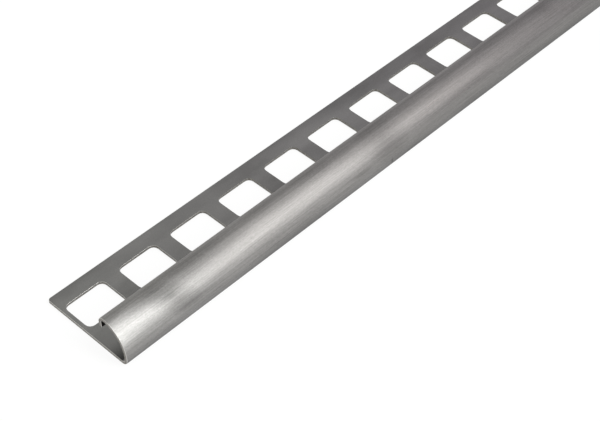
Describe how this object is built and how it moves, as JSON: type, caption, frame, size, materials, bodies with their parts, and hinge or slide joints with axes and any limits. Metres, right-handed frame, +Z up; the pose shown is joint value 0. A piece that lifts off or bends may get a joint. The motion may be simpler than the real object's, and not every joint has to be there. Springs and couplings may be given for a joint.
{
  "type": "tile edge trim",
  "caption": "Quarter-round tile edge trim: a bent sheet strip with a perforated anchoring leg, a hollow round front and a short lip that stops the tile.",
  "frame": {"origin": "centre of the bounding box's bottom: on the underside of the anchoring leg, midway along the length and the overall width", "axes": "+X along the trim, +Y from the round towards the tile, +Z up out of the leg"},
  "size_m": [1, 0.0264, 0.01],
  "materials": {
    "brushed_sheet": "stainless steel with a fine lengthwise brushed finish on the round, plainer and duller on the leg"
  },
  "bodies": {
    "root": {"edge_trim": "brushed_sheet"}
  },
  "joints": []
}
